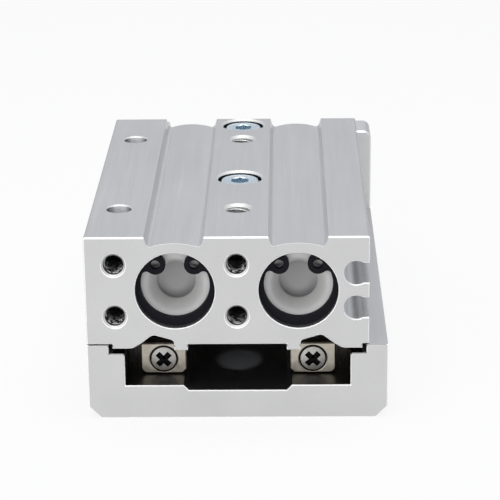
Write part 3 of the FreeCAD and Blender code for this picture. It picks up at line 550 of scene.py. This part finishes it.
# finishes with one kind of mark each: grains per metre, their detail and their depth
markedFinishes = {
    # near black, far darker than bare steel: partly painted shade for the guide channel these parts sit in
    "hardened_steel": {
        "pale": (0.050, 0.048, 0.045), "dark": (0.012, 0.0115, 0.011), "rough": (0.22, 0.34),
        "shader": {"Metallic": 1.0}, "grains": (3800, 60, 500), "detail": 3.0, "depth": 1.0e-6},
    "zinc_steel": {
        "pale": (0.74, 0.83, 0.89), "dark": (0.58, 0.69, 0.77), "rough": (0.20, 0.32),
        "shader": {"Metallic": 1.0}, "grains": (1300, 1300, 1300), "detail": 4.0, "depth": 2.0e-6},
    "black_spring_steel": {
        "pale": (0.010, 0.010, 0.014), "dark": (0.006, 0.006, 0.009), "rough": (0.48, 0.66),
        "shader": {"Specular IOR Level": 0.1}, "grains": (1600, 1600, 1600), "detail": 5.0, "depth": 3.0e-6},
    "rod_steel": {
        "pale": (0.70, 0.70, 0.71), "dark": (0.62, 0.62, 0.64), "rough": (0.06, 0.12),
        "shader": {"Metallic": 1.0}, "grains": (500, 9000, 500), "detail": 4.0, "depth": 4.0e-7},
    "cover_alloy": {
        "pale": (0.56, 0.54, 0.48), "dark": (0.47, 0.45, 0.40), "rough": (0.28, 0.40),
        "shader": {"Metallic": 1.0}, "grains": (400, 6000, 400), "detail": 4.0, "depth": 2.0e-6},
    "piston_alloy": {
        "pale": (0.64, 0.64, 0.65), "dark": (0.54, 0.54, 0.55), "rough": (0.25, 0.36),
        "shader": {"Metallic": 1.0}, "grains": (400, 6000, 400), "detail": 4.0, "depth": 2.0e-6},
    "bush_steel": {
        "pale": (0.48, 0.48, 0.49), "dark": (0.38, 0.38, 0.39), "rough": (0.22, 0.34),
        "shader": {"Metallic": 1.0}, "grains": (400, 7000, 400), "detail": 4.0, "depth": 1.5e-6},
    "seal_rubber": {
        "pale": (0.030, 0.030, 0.030), "dark": (0.018, 0.018, 0.018), "rough": (0.50, 0.65),
        "shader": {"Metallic": 0.0}, "grains": (3000, 3000, 3000), "detail": 4.0, "depth": 5.0e-6},
    "bumper_urethane": {
        "pale": (0.40, 0.25, 0.09), "dark": (0.33, 0.20, 0.07), "rough": (0.40, 0.55),
        "shader": {"Metallic": 0.0}, "grains": (1200, 1200, 1200), "detail": 4.0, "depth": 5.0e-6},
    "magnet_compound": {
        "pale": (0.085, 0.085, 0.09), "dark": (0.055, 0.055, 0.06), "rough": (0.45, 0.6),
        "shader": {"Metallic": 0.0}, "grains": (4000, 4000, 4000), "detail": 4.0, "depth": 4.0e-6},
    "cage_resin": {
        "pale": (0.66, 0.63, 0.54), "dark": (0.58, 0.55, 0.47), "rough": (0.38, 0.5),
        "shader": {"Metallic": 0.0}, "grains": (1800, 1800, 1800), "detail": 4.0, "depth": 3.0e-6},
}


def markedFinish(slot, look):
    first, *others = slot.split("_")
    name = first + "".join(word.title() for word in others)
    finish, tree, shader, place = startFinish(name, look["shader"])
    marks = grain(tree, place, look["grains"], look["detail"])
    color = twoTones(tree, marks, look)
    endFinish(tree, shader, color, span(tree, marks, *look["rough"]), marks, look["depth"])
    return finish


finishes = {
    "anodised_aluminium": anodisedAluminium(),
    "nickel_plate": nickelPlate(),
    "cross_screw_steel": crossScrewSteel(),
    "cap_resin": capResin(),
}
finishes.update({slot: markedFinish(slot, look) for slot, look in markedFinishes.items()})

for part in frame["record"]["subparts"]:
    shown = nodes[part["node"]]
    shown.data.materials.clear()
    shown.data.materials.append(finishes[part["material_slot"]])
print("finishes:", len(finishes), "on", len(nodes), "nodes")


def addPiece(name, points, faces, finish, body):
    mesh = bpy.data.meshes.new(name)
    mesh.from_pydata(points, [], faces)
    mesh.polygons.foreach_set("use_smooth", np.ones(len(faces), bool))
    mesh.materials.append(finish)
    piece = bpy.data.objects.new(name, mesh)
    bpy.context.scene.collection.objects.link(piece)
    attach(piece, body)
    return piece


thread = {
    "ridge": 0.28,                   # height of the ridge, and half widths of its crest and foot, in pitches
    "crest": 0.06,
    "foot": 0.26,
    "sunk": 0.00004,                 # its foot lies this far behind the wall
    "stepsPerTurn": 36,
    "runOut": 0.5,                   # turns in which the ridge fades at both ends
    "pitches": {1.65: 0.0007, 2.1: 0.0008},  # by core radius in millimetres
}


# trapezoid profile carried round a hole: a point lies at pitch * turns + profile offset down the axis,
# and at core radius less the ridge's height across it
def threadRidge(mouth, inwards, coreRadius, depth, startTurn):
    pitch = thread["pitches"][round(coreRadius * 1000, 2)]
    height = thread["ridge"] * pitch
    turns = depth / pitch
    count = int(turns * thread["stepsPerTurn"])
    turn = np.linspace(0, turns, count)[:, None]
    fade = np.clip(np.minimum(turn, turns - turn) / thread["runOut"], 0, 1)
    offset = pitch * np.array([-thread["foot"], -thread["crest"], thread["crest"], thread["foot"]])
    rise = np.array([0, 1, 1, 0]) * height
    along = pitch * turn + offset
    radius = coreRadius + thread["sunk"] - (rise + np.sign(rise) * thread["sunk"]) * fade
    axis = np.array(inwards, float)
    side = np.roll(np.abs(axis), 1)
    other = np.cross(axis, side)
    angle = 2 * math.pi * (turn + startTurn)
    spoke = np.cos(angle) * side + np.sin(angle) * other
    points = np.array(mouth) + along[..., None] * axis + radius[..., None] * spoke[:, None, :]
    step = np.arange(count - 1)[:, None] * 4
    corner = np.arange(4)
    after = (corner + 1) % 4
    faces = np.stack([step + corner, step + after, step + 4 + after, step + 4 + corner], -1).reshape(-1, 4)
    last = 4 * count - 4
    ends = np.array([[3, 2, 1, 0], [last, last + 1, last + 2, last + 3]])
    return points.reshape(-1, 3), np.vstack([faces, ends])


# start and depth run down from the mount's place; startTurn is where round the hole the ridge starts
tapped = {
    "rearHoleThreads": {
        "mount": "rear_holes", "body": "housing", "start": 0.0006, "depth": 0.0066, "startTurn": 0},
    "topHoleThreads": {
        "mount": "body_holes", "body": "housing", "start": 0.0006, "depth": 0.0120, "startTurn": 0.35},
    "tableHoleThreads": {
        "mount": "table_holes", "body": "table", "start": 0.0006, "depth": 0.0060, "startTurn": 0},
    "endPlateThreads": {
        "mount": "end_plate_holes", "body": "table", "start": 0.0006, "depth": 0.0068, "startTurn": 0},
    "rearPortThread": {
        "mount": "rear_air_port", "body": "housing", "start": -0.0023, "depth": 0.0044, "startTurn": 0},
    "frontPortThread": {
        "mount": "front_air_port", "body": "housing", "start": -0.0023, "depth": 0.0044, "startTurn": 0},
}


# tapped holes of a mount: a port's one, a pattern's four, or the inner pair of the top's four
def tappedPlaces(mount):
    if mount["kind"] == "threaded_hole":
        return [np.array(mount["pos_m"])]
    places = holePlaces(mount)
    return places[2:] if mount["name"] == "body_holes" else places


def threadPiece(name, hole):
    mount = mounts[hole["mount"]]
    dims = mount["dims"]
    coreRadius = dims.get("hole_r_mm", dims.get("r_mm")) / 1000
    inwards = -np.array(mount["axis"], float)
    starts = [place + inwards * hole["start"] for place in tappedPlaces(mount)]
    made = [threadRidge(start, inwards, coreRadius, hole["depth"], hole["startTurn"]) for start in starts]
    counts = np.cumsum([0] + [len(points) for points, faces in made])
    points = np.vstack([points for points, faces in made])
    faces = np.vstack([faces + first for (points, faces), first in zip(made, counts)])
    return addPiece(name, points, faces, finishes["anodised_aluminium"], hole["body"])


for name, hole in tapped.items():
    threadPiece(name, hole)
print("threads:", len(tapped), "pieces")


studio = {
    "floorSize": 3.0,
    "floorTone": (0.86, 0.86, 0.86),
    "fibres": (900, 900, 900),
    "fibreDetail": 3.0,
    "fibreTone": (0.97, 1.0),
    "floorGlow": 0.85,               # share of even white that the camera sees on the floor
    "mirrorGlow": 0.69,              # and that metal mirrors
    "skyLevel": 0.55,
    "skyTint": (0.97, 0.985, 1.0),
    # what metal mirrors behind the object, by sine of the height over the horizon
    "backdrop": {0.0: (0.16, 0.16, 0.17), 0.13: (0.525, 0.535, 0.57), 0.3: (0.68, 0.69, 0.73),
                 0.6: (0.85, 0.86, 0.89), 1.0: (1.0, 1.0, 1.0)},
    "backdropFrom": (-0.25, 0.15),   # white before it, fading into it over these shares of Y
    "softboxes": {
        "overhead": {"place": (0.0, -0.05, 0.55), "aim": (0, 0, 0.015), "size": 0.5, "power": 1.6},
        "front": {"place": (-0.43, -0.60, 0.20), "aim": (0, 0, 0.015), "size": 0.5, "power": 1.5},
    },
}


# shares for the rays that show the background: from the camera, and off metal or through glass
def backgroundRays(tree, seen, mirrored):
    path = addNode(tree, "LightPath", {})
    bounced = math2(tree, "MAXIMUM", path.outputs["Is Glossy Ray"], path.outputs["Is Transmission Ray"])
    direct = math2(tree, "MULTIPLY", path.outputs["Is Camera Ray"], seen)
    return math2(tree, "MAXIMUM", direct, math2(tree, "MULTIPLY", bounced, mirrored))


def studioFloor():
    half = studio["floorSize"] / 2
    corners = half * np.array([[-1, -1, 0], [1, -1, 0], [1, 1, 0], [-1, 1, 0]], float)
    mesh = bpy.data.meshes.new("studioFloor")
    mesh.from_pydata(corners, [], [(0, 1, 2, 3)])
    finish = bpy.data.materials.new("floorPaper")
    finish.use_nodes = True
    tree = finish.node_tree
    tree.nodes.remove(tree.nodes["Principled BSDF"])
    place = addNode(tree, "TexCoord", {}).outputs["Object"]
    fibres = grain(tree, place, studio["fibres"], studio["fibreDetail"])
    sockets = {0: studio["floorTone"], "Scale": span(tree, fibres, *studio["fibreTone"])}
    tone = addNode(tree, "VectorMath", sockets, operation="SCALE").outputs[0]
    paper = addNode(tree, "BsdfDiffuse", {"Color": tone})
    glow = addNode(tree, "Emission", {"Strength": 1.0})
    share = backgroundRays(tree, studio["floorGlow"], studio["mirrorGlow"])
    blend = addNode(tree, "MixShader", {0: share, 1: paper.outputs[0], 2: glow.outputs[0]})
    tree.links.new(blend.outputs[0], tree.nodes["Material Output"].inputs[0])
    mesh.materials.append(finish)
    floor = bpy.data.objects.new("studioFloor", mesh)
    bpy.context.scene.collection.objects.link(floor)


# dim light on the object, the backdrop in metal, and white for the camera
def studioSky():
    world = bpy.data.worlds.new("studioSky")
    bpy.context.scene.world = world
    world.use_nodes = True
    tree = world.node_tree
    light = tree.nodes["Background"]
    light.inputs["Color"].default_value = (*studio["skyTint"], 1)
    light.inputs["Strength"].default_value = studio["skyLevel"]
    towards = addNode(tree, "SeparateXYZ", {0: addNode(tree, "TexCoord", {}).outputs["Generated"]}).outputs
    ramp = addNode(tree, "ValToRGB", {0: towards["Z"]})
    stops = ramp.color_ramp.elements
    while len(stops) < len(studio["backdrop"]):
        stops.new(0.5)
    for stop, (height, tone) in zip(stops, studio["backdrop"].items()):
        stop.position = height
        stop.color = (*tone, 1)
    before = span(tree, towards["Y"], 1, 0, *studio["backdropFrom"])
    mirrored = mixColor(tree, before, ramp.outputs[0], (1, 1, 1))
    mirror = addNode(tree, "Background", {"Color": mirrored, "Strength": 1.0}).outputs[0]
    white = addNode(tree, "Background", {"Color": (1, 1, 1, 1), "Strength": 1.0}).outputs[0]
    path = addNode(tree, "LightPath", {})
    share = backgroundRays(tree, 1, 1)
    unlit = addNode(tree, "MixShader", {0: share, 1: light.outputs[0], 2: mirror}).outputs[0]
    sky = addNode(tree, "MixShader", {0: path.outputs["Is Camera Ray"], 1: unlit, 2: white}).outputs[0]
    tree.links.new(sky, tree.nodes["World Output"].inputs[0])


def softbox(name, look):
    lamp = bpy.data.lights.new(name, "AREA")
    lamp.size = look["size"]
    lamp.energy = look["power"]
    shown = bpy.data.objects.new(name, lamp)
    bpy.context.scene.collection.objects.link(shown)
    shown.location = look["place"]
    towards = Vector(look["aim"]) - Vector(look["place"])
    shown.rotation_euler = towards.to_track_quat("-Z", "Y").to_euler()


studioFloor()
studioSky()
for name, look in studio["softboxes"].items():
    softbox(name + "Softbox", look)

photoView = {
    "place": (0.00811, -0.35554, 0.13942),
    "down": 19.19,                   # degrees
    "turn": -1.06,
    "roll": -0.65,
    "focalShare": 4.09,              # focal length over the width of the image
    "sensor": 36,                    # millimetres
}


def photoCamera():
    down, turn, roll = (math.radians(photoView[key]) for key in ("down", "turn", "roll"))
    ahead = Vector((math.sin(turn) * math.cos(down), math.cos(turn) * math.cos(down), -math.sin(down)))
    right = Vector((math.cos(turn), -math.sin(turn), 0))
    up = right.cross(ahead)
    level = right * math.cos(roll) + up * math.sin(roll)
    upright = up * math.cos(roll) - right * math.sin(roll)
    lens = bpy.data.cameras.new("photoCamera")
    lens.sensor_width = photoView["sensor"]
    lens.lens = photoView["focalShare"] * photoView["sensor"]
    camera = bpy.data.objects.new("photoCamera", lens)
    bpy.context.scene.collection.objects.link(camera)
    turned = Matrix((level, upright, -ahead)).transposed().to_4x4()
    camera.matrix_world = Matrix.Translation(photoView["place"]) @ turned
    bpy.context.scene.camera = camera


photoCamera()
bpy.context.scene.view_settings.view_transform = "Standard"
print("studio: floor, sky,", len(studio["softboxes"]), "softboxes and camera")
